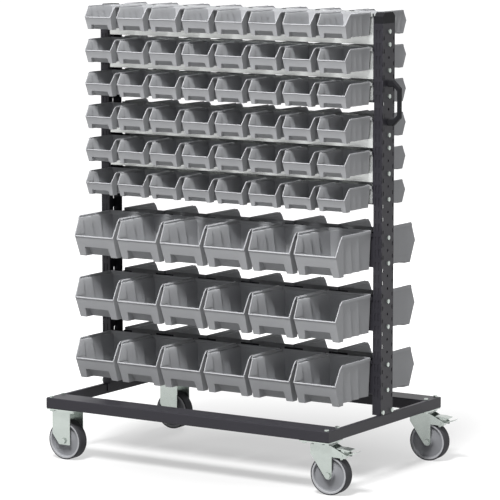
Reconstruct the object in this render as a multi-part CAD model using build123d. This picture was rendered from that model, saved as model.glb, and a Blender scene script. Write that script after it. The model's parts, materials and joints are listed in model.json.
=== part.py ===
"""Picking bin trolley: a double-sided rack of hanging bins on a wheeled base frame.

Millimetres. X runs along the trolley with the push handle at +X, Y runs from front to rear, Z is up.
The origin is on the floor, under the middle of the whole trolley's box.
"""

import math
import os
from dataclasses import dataclass

from build123d import *

# Base frame: two long tubes with closed ends, joined by two narrow end tubes
BASE_LENGTH = 1066.0
BASE_DEPTH = 700.0
BEAM_HEIGHT = 35.0
LONG_BEAM_WIDTH = 85.0
END_BEAM_WIDTH = 15.0
BEAM_WALL = 2.5
TUBE_CORNER = 3.5
END_CAP_THICKNESS = 3.0

# Uprights: perforated channels, web outwards
UPRIGHT_WIDTH = 31.0
UPRIGHT_DEPTH = 73.0
UPRIGHT_WALL = 2.0
UPRIGHT_HEIGHT = 1222.0
FIRST_HOLE_HEIGHT = 77.0
TOP_HOLE_DROP = 25.0
HOLE_COUNT = 29
HOLE_RADIUS = 4.5
EDGE_SLOT_WIDTH = 5.0
EDGE_SLOT_HEIGHT = 14.0
EDGE_SLOT_SPACING = 58.0

# Plastic caps on the uprights
CAP_HEIGHT = 34.0
CAP_SKIRT = 12.0
CAP_WALL = 2.0
CAP_BEVEL = 12.0
CAP_PLUG_DEPTH = 10.0
CAP_PLUG_CLEARANCE = 0.3

# Foot brackets that tie each upright to its end tube
BRACKET_SHEET = 3.0
BRACKET_RISE = 50.0
BRACKET_DROP = 26.0
BRACKET_SIDE_CLEARANCE = 1.5
FOOT_BOLT_HEIGHT = 9.0
FOOT_BOLT_SPACING = 56.0

# Louvred panels for the small bins and rails for the large bins
SHEET = 1.5
PANEL_CLEARANCE = 0.5
LOUVRE_STAND_OFF = 4.0
LOUVRE_HEIGHT = 10.0
LOUVRE_SLOT_ABOVE = 11.0
LOUVRE_SLOT_END = 4.0
BOLT_MARGIN = 12.0
FLANGE_OVERLAP = 10.0
RACK_END_CLEARANCE = 1.0

# Bolt holes that each panel and rail takes, counted from the lowest hole of the upright
PANEL_BOLT_HOLES = ((15, 17, 19, 20), (23, 25, 27, 28))
RAIL_BOLT_HOLES = ((0, 2), (5, 7), (10, 12))

# Hexagon bolts of the rack
BOLT_RADIUS = 4.0
BOLT_HEAD_FLATS = 13.0
BOLT_HEAD_HEIGHT = 5.0
NUT_HEIGHT = 6.5
BOLT_HOLE_RADIUS = 4.5

# Push handle on the right upright
HANDLE_HOLES = (21, 24)
HANDLE_REACH = 44.0
HANDLE_GRIP_THICKNESS = 11.0
HANDLE_ARM_THICKNESS = 20.0
HANDLE_WIDTH = 16.0
HANDLE_BEVEL = 24.0
HANDLE_EDGE_RADIUS = 2.5
HANDLE_SCREW_GRIP = 12.0

# Bins: rows are counted from the top, six rows of small bins above three rows of large ones
SMALL_ROWS = 6
LARGE_ROWS = 3
ROWS_PER_PANEL = 3
HOLES_PER_PANEL = 8
HOLES_PER_LARGE_ROW = 5
BIN_SPAN = 1000.0
LARGE_FLOOR_DROP = 25.0
SMALL_FLOOR_DROP = 29.0
HOOK_CLEARANCE = 0.3
HOOK_SHEET = 1.8
HOOK_DROP = 6.0


@dataclass(frozen=True)
class BinSize:
    """Driving sizes of one bin; shares are of the width."""

    count: int
    floor_width: float
    rim_width: float
    length: float
    height: float
    lip_height: float
    rim_setback: float
    toe_setback: float
    wall: float
    recess_height: float
    recess_depth: float
    recess_top_share: float
    recess_foot_share: float
    hook_height: float
    hook_width_share: float


SMALL_BIN = BinSize(
    count=8,
    floor_width=95.0,
    rim_width=108.0,
    length=148.0,
    height=75.5,
    lip_height=41.0,
    rim_setback=25.0,
    toe_setback=14.0,
    wall=2.0,
    recess_height=14.5,
    recess_depth=3.0,
    recess_top_share=0.58,
    recess_foot_share=0.63,
    hook_height=72.0,
    hook_width_share=0.6,
)
LARGE_BIN = BinSize(
    count=6,
    floor_width=145.5,
    rim_width=160.5,
    length=206.0,
    height=130.0,
    lip_height=69.0,
    rim_setback=31.0,
    toe_setback=26.0,
    wall=2.5,
    recess_height=30.0,
    recess_depth=5.0,
    recess_top_share=0.57,
    recess_foot_share=0.62,
    hook_height=120.0,
    hook_width_share=0.6,
)

# Casters: two fixed ones at the left end, two swivel ones with a foot brake at the right end
CASTER_HEIGHT = 167.0
PLATE_LENGTH = 105.0
PLATE_THICKNESS = 3.5
PLATE_SPACING_X = 80.0
PLATE_SPACING_Y = 62.0
PLATE_BOLT_INSET = 14.0
SWIVEL_OFFSET = 36.5
SWIVEL_REST_ANGLE = 4.5

# Wheels
WHEEL_RADIUS = 62.5
WHEEL_WIDTH = 39.0
TYRE_SHOULDER = 2.5
HUB_RADIUS = 58.0
HUB_WIDTH = 38.0
HUB_RIM_THICKNESS = 5.0
HUB_WEB_WIDTH = 22.0
HUB_WEB_SLOPE = 3.0
HUB_BOSS_RADIUS = 15.0
HUB_SIDE_CLEARANCE = 0.3
AXLE_RADIUS = 6.0
AXLE_RUNNING_CLEARANCE = 0.06
AXLE_HEAD_FLATS = 17.0
AXLE_HEAD_HEIGHT = 6.0

# Forks
FORK_SHEET = 2.5
FORK_INNER_WIDTH = 43.0
FORK_TIP_RADIUS = 12.5
FORK_TIP_START = 215.0
FORK_TIP_END = 360.0
FORK_TIP_STEPS = 6
WHEEL_CLEARANCE = 4.0
HEAD_RADIUS = 24.0
RACE_RADIUS = 27.0
RACE_HEIGHT = 7.5
KINGPIN_RADIUS = 8.0
KINGPIN_HEAD_RADIUS = 13.0
KINGPIN_HEAD_HEIGHT = 4.0
SWIVEL_GAP = 0.3
FORK_SHOULDER_HEIGHT = 127.0
FORK_LEG_TOP = 121.0
BRAKE_ARM_REACH = 98.0
BRAKE_ARM_NECK = 45.0
BRAKE_ARM_TOP = 130.0
BRAKE_ARM_FOOT = 119.0

# Foot brake pedal
PEDAL_PIVOT_X = 84.0
PEDAL_PIVOT_Z = 127.0
PEDAL_PIN_RADIUS = 3.0
PEDAL_PIN_CLEARANCE = 0.06
PEDAL_WIDTH = 38.0
PEDAL_SHEET = 3.0
PEDAL_HEEL_X = 62.0
PEDAL_HEEL_Z = 148.0
PEDAL_TOE_X = 108.0
PEDAL_TOE_Z = 145.0
PEDAL_BOSS_RADIUS = 5.5
SHOE_X = 75.5
SHOE_FOOT = 113.5
SHOE_LENGTH = 6.5
TONGUE_REACH = 131.0
TONGUE_RISE = 142.0
TONGUE_WIDTH = 26.0
PIN_OVERHANG = 1.5

# Fixed brackets, measured from the wheel's axle
FIXED_REAR_EDGE = 44.0
FIXED_FRONT_EDGE = 25.0
FIXED_FOOT = 13.0
FIXED_CUT_HEIGHT = 20.0
FIXED_CUT_LENGTH = 26.0

# One overrun serves all cuts
OVERRUN = 5.0

# Places worked out from the sizes above
FRAME_TOP = CASTER_HEIGHT + BEAM_HEIGHT
HALF_LENGTH = BASE_LENGTH / 2
HALF_DEPTH = BASE_DEPTH / 2
BEAM_Y = HALF_DEPTH - LONG_BEAM_WIDTH / 2
CASTER_X = HALF_LENGTH - PLATE_BOLT_INSET - PLATE_SPACING_X / 2
PANEL_FACE = UPRIGHT_DEPTH / 2 - UPRIGHT_WALL - PANEL_CLEARANCE
LOUVRE_FACE = PANEL_FACE + LOUVRE_STAND_OFF + SHEET
BIN_BACK = LOUVRE_FACE + HOOK_CLEARANCE
RACK_HALF_SPAN = HALF_LENGTH - UPRIGHT_WIDTH - RACK_END_CLEARANCE
HOLE_PITCH = (UPRIGHT_HEIGHT - FIRST_HOLE_HEIGHT - TOP_HOLE_DROP) / (HOLE_COUNT - 1)
SMALL_ROW_PITCH = HOLES_PER_PANEL * HOLE_PITCH / ROWS_PER_PANEL
LARGE_ROW_PITCH = HOLES_PER_LARGE_ROW * HOLE_PITCH
LOWEST_LARGE_FLOOR = FIRST_HOLE_HEIGHT - LARGE_FLOOR_DROP
LOWEST_SMALL_FLOOR = FIRST_HOLE_HEIGHT + LARGE_ROWS * LARGE_ROW_PITCH - SMALL_FLOOR_DROP
PLATE_FOOT = CASTER_HEIGHT - PLATE_THICKNESS
CROWN_TOP = PLATE_FOOT - RACE_HEIGHT - SWIVEL_GAP
FORK_OUTER_WIDTH = FORK_INNER_WIDTH + 2 * FORK_SHEET

nodes = {}


def hole_height(index):
    """Height above the floor of one fixing hole of the uprights."""
    return FRAME_TOP + FIRST_HOLE_HEIGHT + index * HOLE_PITCH


def block(low, high):
    """Box between two opposite corners."""
    size = [b - a for a, b in zip(low, high)]
    return Pos(*low) * Box(*size, align=Align.MIN)


def prism_x(points, half_width):
    """Outline of (y, z) points, drawn out to both sides along X."""
    return extrude(Plane.YZ * make_face(Polyline(*points, close=True)), half_width, both=True)


def prism_y(points, half_width):
    """Outline of (x, z) points, drawn out to both sides along Y."""
    return extrude(Plane.XZ * make_face(Polyline(*points, close=True)), half_width, both=True)


def rod_x(radius, start, end, y, z):
    """Round rod along X."""
    rod = Rot(0, 90, 0) * Cylinder(radius, abs(end - start))
    return Pos((start + end) / 2, y, z) * rod


def rod_y(radius, start, end, x, z):
    """Round rod along Y."""
    rod = Rot(90, 0, 0) * Cylinder(radius, abs(end - start))
    return Pos(x, (start + end) / 2, z) * rod


def rod_z(radius, start, end, x, y):
    """Round rod along Z."""
    return Pos(x, y, (start + end) / 2) * Cylinder(radius, abs(end - start))


def rounded_bar(length, width, height):
    """Bar along X with rounded long edges, centred on the origin."""
    bar = Box(length, width, height)
    return fillet(bar.edges().filter_by(Axis.X), TUBE_CORNER)


def hexagon(flats, height):
    """Hexagon head or nut standing on the plane z = 0."""
    return extrude(RegularPolygon(flats / 2, 6, major_radius=False), height)


# Base frame
def long_beam(side):
    """Long tube of the front (-1) or the rear (+1), with holes for the caster bolts."""
    half = HALF_LENGTH - END_CAP_THICKNESS
    tube = rounded_bar(2 * half, LONG_BEAM_WIDTH, BEAM_HEIGHT)
    tube -= Box(
        2 * half + OVERRUN,
        LONG_BEAM_WIDTH - 2 * BEAM_WALL,
        BEAM_HEIGHT - 2 * BEAM_WALL,
    )
    tube = Pos(0, side * BEAM_Y, CASTER_HEIGHT + BEAM_HEIGHT / 2) * tube
    for end in (-1, 1):
        for x, y, through in caster_bolt_places(end, side):
            top = FRAME_TOP + OVERRUN if through else CASTER_HEIGHT + BEAM_WALL + OVERRUN
            tube -= rod_z(BOLT_HOLE_RADIUS, CASTER_HEIGHT - OVERRUN, top, x, y)
    return tube


def caster_bolt_places(end, side):
    """Places of one caster's four bolts; the outer pair goes right through the long tube."""
    for along in (-1, 1):
        for across in (-1, 1):
            x = end * CASTER_X + along * PLATE_SPACING_X / 2
            y = side * BEAM_Y + across * PLATE_SPACING_Y / 2
            yield x, y, along == end


def beam_end_caps():
    """Plates that close the four ends of the long tubes."""
    plates = []
    for end in (-1, 1):
        for side in (-1, 1):
            plate = rounded_bar(END_CAP_THICKNESS, LONG_BEAM_WIDTH, BEAM_HEIGHT)
            x = end * (HALF_LENGTH - END_CAP_THICKNESS / 2)
            plates.append(Pos(x, side * BEAM_Y, CASTER_HEIGHT + BEAM_HEIGHT / 2) * plate)
    return plates


def end_beam(end):
    """Narrow tube across one end, between the long tubes."""
    length = BASE_DEPTH - 2 * LONG_BEAM_WIDTH
    tube = Rot(0, 0, 90) * rounded_bar(length, END_BEAM_WIDTH, BEAM_HEIGHT)
    tube -= Box(END_BEAM_WIDTH - 2 * BEAM_WALL, length + OVERRUN, BEAM_HEIGHT - 2 * BEAM_WALL)
    x = end * (HALF_LENGTH - END_BEAM_WIDTH / 2)
    return Pos(x, 0, CASTER_HEIGHT + BEAM_HEIGHT / 2) * tube


# Uprights with their caps and feet
def upright(end):
    """Channel with a row of fixing holes in its outer web and slots along the web's edges."""
    outer = Box(UPRIGHT_WIDTH, UPRIGHT_DEPTH, UPRIGHT_HEIGHT)
    hollow = Box(UPRIGHT_WIDTH, UPRIGHT_DEPTH - 2 * UPRIGHT_WALL, UPRIGHT_HEIGHT + OVERRUN)
    channel = outer - Pos(-end * UPRIGHT_WALL, 0, 0) * hollow
    x = end * (HALF_LENGTH - UPRIGHT_WIDTH / 2)
    channel = Pos(x, 0, FRAME_TOP + UPRIGHT_HEIGHT / 2) * channel
    inside = end * (HALF_LENGTH - UPRIGHT_WALL - OVERRUN)
    outside = end * (HALF_LENGTH + OVERRUN)
    holes = [
        rod_x(HOLE_RADIUS, inside, outside, 0, hole_height(index))
        for index in range(HOLE_COUNT)
    ]
    feet = [
        rod_x(HOLE_RADIUS, inside, outside, across * FOOT_BOLT_SPACING / 2, FRAME_TOP + FOOT_BOLT_HEIGHT)
        for across in (-1, 1)
    ]
    slots = [
        Pos(end * HALF_LENGTH, across * EDGE_SLOT_SPACING / 2, hole_height(index) - HOLE_PITCH / 2)
        * Box(2 * OVERRUN, EDGE_SLOT_WIDTH, EDGE_SLOT_HEIGHT)
        for index in range(HOLE_COUNT)
        for across in (-1, 1)
    ]
    return channel - holes - feet - slots


def cap(end):
    """Plastic cap with sloping shoulders, plugged into the top of an upright."""
    half = UPRIGHT_DEPTH / 2
    top = FRAME_TOP + UPRIGHT_HEIGHT
    outline = [
        (-half, top),
        (half, top),
        (half, top + CAP_HEIGHT - CAP_BEVEL),
        (half - CAP_BEVEL, top + CAP_HEIGHT),
        (-(half - CAP_BEVEL), top + CAP_HEIGHT),
        (-half, top + CAP_HEIGHT - CAP_BEVEL),
    ]
    body = prism_x(outline, UPRIGHT_WIDTH / 2)
    plug_y = half - UPRIGHT_WALL - CAP_PLUG_CLEARANCE
    plug_x = UPRIGHT_WIDTH / 2 - UPRIGHT_WALL - CAP_PLUG_CLEARANCE
    body += block((-plug_x, -plug_y, top - CAP_PLUG_DEPTH), (plug_x, plug_y, top))
    hollow_x = plug_x - CAP_WALL
    hollow_y = plug_y - CAP_WALL
    body -= block(
        (-hollow_x, -hollow_y, top - CAP_PLUG_DEPTH - OVERRUN),
        (hollow_x, hollow_y, top + CAP_SKIRT),
    )
    return Pos(end * (HALF_LENGTH - UPRIGHT_WIDTH / 2), 0, 0) * body


def foot_bracket(end):
    """Bent plate: down the inside of the end tube, over its top and up inside the upright."""
    outer = HALF_LENGTH - UPRIGHT_WALL
    inner = HALF_LENGTH - END_BEAM_WIDTH
    half = UPRIGHT_DEPTH / 2 - UPRIGHT_WALL - BRACKET_SIDE_CLEARANCE
    outline = [
        (outer, FRAME_TOP),
        (outer, FRAME_TOP + BRACKET_RISE),
        (outer - BRACKET_SHEET, FRAME_TOP + BRACKET_RISE),
        (outer - BRACKET_SHEET, FRAME_TOP + BRACKET_SHEET),
        (inner - BRACKET_SHEET, FRAME_TOP + BRACKET_SHEET),
        (inner - BRACKET_SHEET, FRAME_TOP - BRACKET_DROP),
        (inner, FRAME_TOP - BRACKET_DROP),
        (inner, FRAME_TOP),
    ]
    return prism_y([(end * x, z) for x, z in outline], half)


def foot_bolts():
    """Bolts through the web of each upright into its foot bracket."""
    bolts = []
    for end in (-1, 1):
        for across in (-1, 1):
            y = across * FOOT_BOLT_SPACING / 2
            z = FRAME_TOP + FOOT_BOLT_HEIGHT
            bolts.append(web_bolt(end, y, z, BRACKET_SHEET))
    return bolts


def web_bolt(end, y, z, grip):
    """Hexagon bolt from outside through an upright's web, gripping sheet behind it."""
    head = Rot(0, end * 90, 0) * hexagon(BOLT_HEAD_FLATS, BOLT_HEAD_HEIGHT)
    head = Pos(end * HALF_LENGTH, y, z) * head
    inside = end * (HALF_LENGTH - UPRIGHT_WALL - grip)
    return head + rod_x(BOLT_RADIUS, inside, end * HALF_LENGTH, y, z)


# Louvred panels and rails
def louvre(top):
    """Upturned strip that a row of bins hangs on, for the front of the rack."""
    outline = [
        (-PANEL_FACE, top - LOUVRE_HEIGHT),
        (-LOUVRE_FACE, top - LOUVRE_HEIGHT),
        (-LOUVRE_FACE, top),
        (SHEET - LOUVRE_FACE, top),
        (SHEET - LOUVRE_FACE, top - LOUVRE_HEIGHT + SHEET),
        (-PANEL_FACE, top - LOUVRE_HEIGHT + SHEET),
    ]
    return prism_x(outline, RACK_HALF_SPAN)


def rack_sheet(bolts, louvre_tops, layer):
    """Sheet with louvres and end flanges; layer 0 flanges lie on the webs, layer 1 on those.

    The sheet's upper edge is bent into the top louvre, and each louvre below stands in its own slot.
    """
    reach = HALF_LENGTH - UPRIGHT_WALL - layer * SHEET
    tab_foot = hole_height(bolts[0]) - BOLT_MARGIN
    tab_top = hole_height(bolts[-1]) + BOLT_MARGIN
    back = SHEET - PANEL_FACE
    sheet_top = max(louvre_tops) - LOUVRE_HEIGHT + SHEET
    sheet = block((-RACK_HALF_SPAN, -PANEL_FACE, tab_foot), (RACK_HALF_SPAN, back, sheet_top))
    slot_half = RACK_HALF_SPAN - LOUVRE_SLOT_END
    for level in louvre_tops:
        slot_foot = level - LOUVRE_HEIGHT + SHEET
        sheet -= block(
            (-slot_half, -PANEL_FACE - OVERRUN, slot_foot),
            (slot_half, back + OVERRUN, level + LOUVRE_SLOT_ABOVE),
        )
    for end in (-1, 1):
        inner = end * (RACK_HALF_SPAN - LOUVRE_SLOT_END)
        low = (min(inner, end * reach), -PANEL_FACE, tab_foot)
        high = (max(inner, end * reach), back, tab_top)
        sheet += block(low, high)
        inner = end * (reach - SHEET)
        low = (min(inner, end * reach), -PANEL_FACE, tab_foot)
        high = (max(inner, end * reach), FLANGE_OVERLAP, tab_top)
        sheet += block(low, high)
    for level in louvre_tops:
        sheet += louvre(level)
    return sheet


def turned(shape):
    """The same piece for the rear of the trolley."""
    return Rot(0, 0, 180) * shape


def small_floor(row):
    """Height above the floor of a small bin's underside; row 1 is the top one."""
    return FRAME_TOP + LOWEST_SMALL_FLOOR + (SMALL_ROWS - row) * SMALL_ROW_PITCH


def large_floor(row):
    """Height above the floor of a large bin's underside; the last row is the lowest."""
    last = SMALL_ROWS + LARGE_ROWS
    return FRAME_TOP + LOWEST_LARGE_FLOOR + (last - row) * LARGE_ROW_PITCH


def panel(group, layer):
    """Panel for three rows of small bins; group 0 is the lower one."""
    lowest = SMALL_ROWS - group * ROWS_PER_PANEL
    rows = [lowest - step for step in range(ROWS_PER_PANEL)]
    tops = [small_floor(row) + SMALL_BIN.hook_height for row in rows]
    return rack_sheet(PANEL_BOLT_HOLES[group], tops, layer)


def rail(step, layer):
    """Rail for one row of large bins; step 0 is the lowest."""
    row = SMALL_ROWS + LARGE_ROWS - step
    louvre_top = large_floor(row) + LARGE_BIN.hook_height
    return rack_sheet(RAIL_BOLT_HOLES[step], [louvre_top], layer)


def rack_bolts():
    """Bolts that hold the panels and rails to both uprights."""
    indices = [index for group in RAIL_BOLT_HOLES + PANEL_BOLT_HOLES for index in group]
    return [
        web_bolt(end, 0, hole_height(index), 2 * SHEET)
        for end in (-1, 1)
        for index in indices
    ]


# Push handle
def handle():
    """Bow with bevelled corners, standing out from the web of the right upright."""
    low = hole_height(HANDLE_HOLES[0]) - HANDLE_ARM_THICKNESS / 2
    high = hole_height(HANDLE_HOLES[1]) + HANDLE_ARM_THICKNESS / 2
    outer = HALF_LENGTH + HANDLE_REACH
    inner = outer - HANDLE_GRIP_THICKNESS
    inner_bevel = HANDLE_BEVEL - HANDLE_GRIP_THICKNESS
    outline = [
        (HALF_LENGTH, low),
        (outer - HANDLE_BEVEL, low),
        (outer, low + HANDLE_BEVEL),
        (outer, high - HANDLE_BEVEL),
        (outer - HANDLE_BEVEL, high),
        (HALF_LENGTH, high),
        (HALF_LENGTH, high - HANDLE_ARM_THICKNESS),
        (inner - inner_bevel, high - HANDLE_ARM_THICKNESS),
        (inner, high - HANDLE_ARM_THICKNESS - inner_bevel),
        (inner, low + HANDLE_ARM_THICKNESS + inner_bevel),
        (inner - inner_bevel, low + HANDLE_ARM_THICKNESS),
        (HALF_LENGTH, low + HANDLE_ARM_THICKNESS),
    ]
    bow = prism_y(outline, HANDLE_WIDTH / 2)
    edges = bow.edges().filter_by(Plane.XZ).group_by(Axis.X)[1:]
    return chamfer([edge for group in edges for edge in group], HANDLE_EDGE_RADIUS)


def handle_screws():
    """Screws from inside the right upright; the upper one passes through the panel flanges too."""
    screws = []
    for index, flanges in zip(HANDLE_HOLES, (0, 2)):
        z = hole_height(index)
        seat = HALF_LENGTH - UPRIGHT_WALL - flanges * SHEET
        head = Rot(0, -90, 0) * hexagon(BOLT_HEAD_FLATS, BOLT_HEAD_HEIGHT)
        shank = rod_x(BOLT_RADIUS, seat, HALF_LENGTH + HANDLE_SCREW_GRIP, 0, z)
        screws.append(Pos(seat, 0, z) * head + shank)
    return screws


# Bins
def bin_shell(size):
    """Open-fronted bin hooked on at its back: back on the plane y = 0, underside on z = 0."""
    above = size.height + OVERRUN
    slope = (size.rim_width - size.floor_width) / (2 * size.height)
    toe = size.toe_setback - size.length
    outline = [
        (0, 0),
        (toe, 0),
        (-size.length, size.lip_height),
        (size.rim_setback - size.length, size.height),
        (0, size.height),
    ]
    shell = prism_x(outline, size.rim_width) & tapered(size.floor_width / 2, slope, 0, above, size)

    lean = size.toe_setback / size.lip_height
    inner_toe = toe + size.wall * math.hypot(1, lean)
    hollow_outline = [
        (-size.wall, size.wall),
        (inner_toe - lean * size.wall, size.wall),
        (inner_toe - lean * above, above),
        (-size.wall, above),
    ]
    inner_half = size.floor_width / 2 - size.wall * math.hypot(1, slope)
    hollow = prism_x(hollow_outline, size.rim_width)
    hollow &= tapered(inner_half, slope, 0, above, size)
    hollow -= recess(size, toe, size.wall)
    shell = shell - hollow - recess(size, toe, 0)
    return shell + bin_hook(size)


def tapered(half_width, slope, low, high, size):
    """Block as deep as the bin, whose sides lean outwards by the given slope."""
    points = [
        (-(half_width + slope * low), low),
        (half_width + slope * low, low),
        (half_width + slope * high, high),
        (-(half_width + slope * high), high),
    ]
    return prism_y(points, size.length + OVERRUN)


def recess(size, toe, skin):
    """Finger recess at the foot of the front wall, grown by the thickness of a skin."""
    half_top = size.recess_top_share * size.rim_width / 2 + skin
    half_foot = size.recess_foot_share * size.rim_width / 2 + skin
    points = [
        (-half_foot, -OVERRUN),
        (half_foot, -OVERRUN),
        (half_top, size.recess_height + skin),
        (-half_top, size.recess_height + skin),
    ]
    face = toe + size.recess_depth + skin
    return Pos(0, face - size.length, 0) * prism_y(points, size.length)


def bin_hook(size):
    """Lip on the back of a bin that reaches over the upturned strip of a louvre."""
    under = size.hook_height + HOOK_CLEARANCE
    near = HOOK_CLEARANCE + SHEET + HOOK_CLEARANCE
    far = near + HOOK_SHEET
    outline = [
        (-size.wall, under),
        (near, under),
        (near, under - HOOK_DROP),
        (far, under - HOOK_DROP),
        (far, under + HOOK_SHEET),
        (-size.wall, under + HOOK_SHEET),
    ]
    return prism_x(outline, size.hook_width_share * size.rim_width / 2)


def bin_row(size, floor):
    """One row of bins on the front of the rack."""
    one = bin_shell(size)
    pitch = BIN_SPAN / size.count
    first = -BIN_SPAN / 2 + pitch / 2
    return [Pos(first + index * pitch, -BIN_BACK, floor) * one for index in range(size.count)]


# Wheels
def ring_profile(points):
    """Solid turned round the Y axis from (radius, y) points."""
    face = make_face(Polyline(*points, close=True))
    return revolve(face, Axis.Y)


def tyre():
    """Rubber tread with sloping shoulders, centred on the wheel."""
    half = WHEEL_WIDTH / 2
    inner_half = HUB_WIDTH / 2
    return ring_profile(
        [
            (HUB_RADIUS, -inner_half),
            (WHEEL_RADIUS - TYRE_SHOULDER, -half),
            (WHEEL_RADIUS, TYRE_SHOULDER - half),
            (WHEEL_RADIUS, half - TYRE_SHOULDER),
            (WHEEL_RADIUS - TYRE_SHOULDER, half),
            (HUB_RADIUS, inner_half),
        ]
    )


def hub():
    """Wheel centre with a thin web between its rim and its boss."""
    bore = AXLE_RADIUS + AXLE_RUNNING_CLEARANCE
    rim = HUB_RADIUS - HUB_RIM_THICKNESS
    half_rim = HUB_WIDTH / 2
    half_web = HUB_WEB_WIDTH / 2
    half_boss = FORK_INNER_WIDTH / 2 - HUB_SIDE_CLEARANCE
    return ring_profile(
        [
            (bore, -half_boss),
            (HUB_BOSS_RADIUS, -half_boss),
            (HUB_BOSS_RADIUS + HUB_RIM_THICKNESS, -half_web),
            (rim - HUB_WEB_SLOPE, -half_web),
            (rim, -half_rim),
            (HUB_RADIUS, -half_rim),
            (HUB_RADIUS, half_rim),
            (rim, half_rim),
            (rim - HUB_WEB_SLOPE, half_web),
            (HUB_BOSS_RADIUS + HUB_RIM_THICKNESS, half_web),
            (HUB_BOSS_RADIUS, half_boss),
            (bore, half_boss),
        ]
    )


def axle():
    """Bolt through the fork and the wheel, with a head on one side and a nut on the other."""
    half = FORK_OUTER_WIDTH / 2
    pin = rod_y(AXLE_RADIUS, -half, half, 0, 0)
    head = hexagon(AXLE_HEAD_FLATS, AXLE_HEAD_HEIGHT)
    pin += Pos(0, -half, 0) * (Rot(90, 0, 0) * head)
    pin += Pos(0, half, 0) * (Rot(-90, 0, 0) * head)
    return pin


def tip_outline(tip_x, radius):
    """Points of the rounded tip of a fork leg round the axle."""
    sweep = FORK_TIP_END - FORK_TIP_START
    shares = [step / FORK_TIP_STEPS for step in range(FORK_TIP_STEPS + 1)]
    turn = [math.radians(FORK_TIP_START + sweep * share) for share in shares]
    return [(tip_x + radius * math.cos(a), WHEEL_RADIUS + radius * math.sin(a)) for a in turn]


def mounting_plate():
    """Caster plate with its four bolt holes, under the long tube."""
    plate = Box(PLATE_LENGTH, LONG_BEAM_WIDTH, PLATE_THICKNESS)
    plate = Pos(0, 0, CASTER_HEIGHT - PLATE_THICKNESS / 2) * plate
    for along in (-1, 1):
        for across in (-1, 1):
            x = along * PLATE_SPACING_X / 2
            y = across * PLATE_SPACING_Y / 2
            plate -= rod_z(BOLT_HOLE_RADIUS, PLATE_FOOT - OVERRUN, CASTER_HEIGHT + OVERRUN, x, y)
    return plate


# Swivel casters, with the swivel axis on x = y = 0 and the wheel trailing towards +X
def swivel_plate():
    """Mounting plate with its ball race and the kingpin that carries the fork."""
    crown_foot = CROWN_TOP - FORK_SHEET
    head_top = crown_foot - SWIVEL_GAP
    body = mounting_plate()
    body += rod_z(RACE_RADIUS, PLATE_FOOT - RACE_HEIGHT, PLATE_FOOT, 0, 0)
    body += rod_z(KINGPIN_RADIUS, head_top, PLATE_FOOT, 0, 0)
    return body + rod_z(KINGPIN_HEAD_RADIUS, head_top - KINGPIN_HEAD_HEIGHT, head_top, 0, 0)


def swivel_fork():
    """Pressed fork: crown, two legs round the wheel, a back wall and arms for the brake."""
    leg_front = SWIVEL_OFFSET + FORK_TIP_RADIUS
    tip = tip_outline(SWIVEL_OFFSET, FORK_TIP_RADIUS)
    outline = [
        (-HEAD_RADIUS, CROWN_TOP),
        (-HEAD_RADIUS, FORK_SHOULDER_HEIGHT),
        *tip,
        (leg_front, FORK_LEG_TOP),
        (BRAKE_ARM_REACH - FORK_SHEET, BRAKE_ARM_FOOT),
        (BRAKE_ARM_REACH, BRAKE_ARM_TOP),
        (BRAKE_ARM_NECK, CROWN_TOP),
    ]
    body = prism_y(outline, FORK_OUTER_WIDTH / 2)
    crown_foot = CROWN_TOP - FORK_SHEET
    hollow = [
        (FORK_SHEET - HEAD_RADIUS, crown_foot),
        (FORK_SHEET - HEAD_RADIUS, 0),
        (BRAKE_ARM_REACH + OVERRUN, 0),
        (BRAKE_ARM_REACH + OVERRUN, CROWN_TOP + OVERRUN),
        (BRAKE_ARM_NECK, CROWN_TOP + OVERRUN),
        (BRAKE_ARM_NECK, crown_foot),
    ]
    half = FORK_INNER_WIDTH / 2
    body -= prism_y(hollow, half)
    body -= rod_y(WHEEL_RADIUS + WHEEL_CLEARANCE, -half, half, SWIVEL_OFFSET, WHEEL_RADIUS)
    side = FORK_OUTER_WIDTH / 2 + OVERRUN
    body -= rod_y(AXLE_RADIUS, -side, side, SWIVEL_OFFSET, WHEEL_RADIUS)
    pin = PEDAL_PIN_RADIUS + PEDAL_PIN_CLEARANCE
    body -= rod_y(pin, -side, side, PEDAL_PIVOT_X, PEDAL_PIVOT_Z)
    neck = KINGPIN_RADIUS + SWIVEL_GAP
    return body - rod_z(neck, crown_foot - OVERRUN, CROWN_TOP + OVERRUN, 0, 0)


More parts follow.
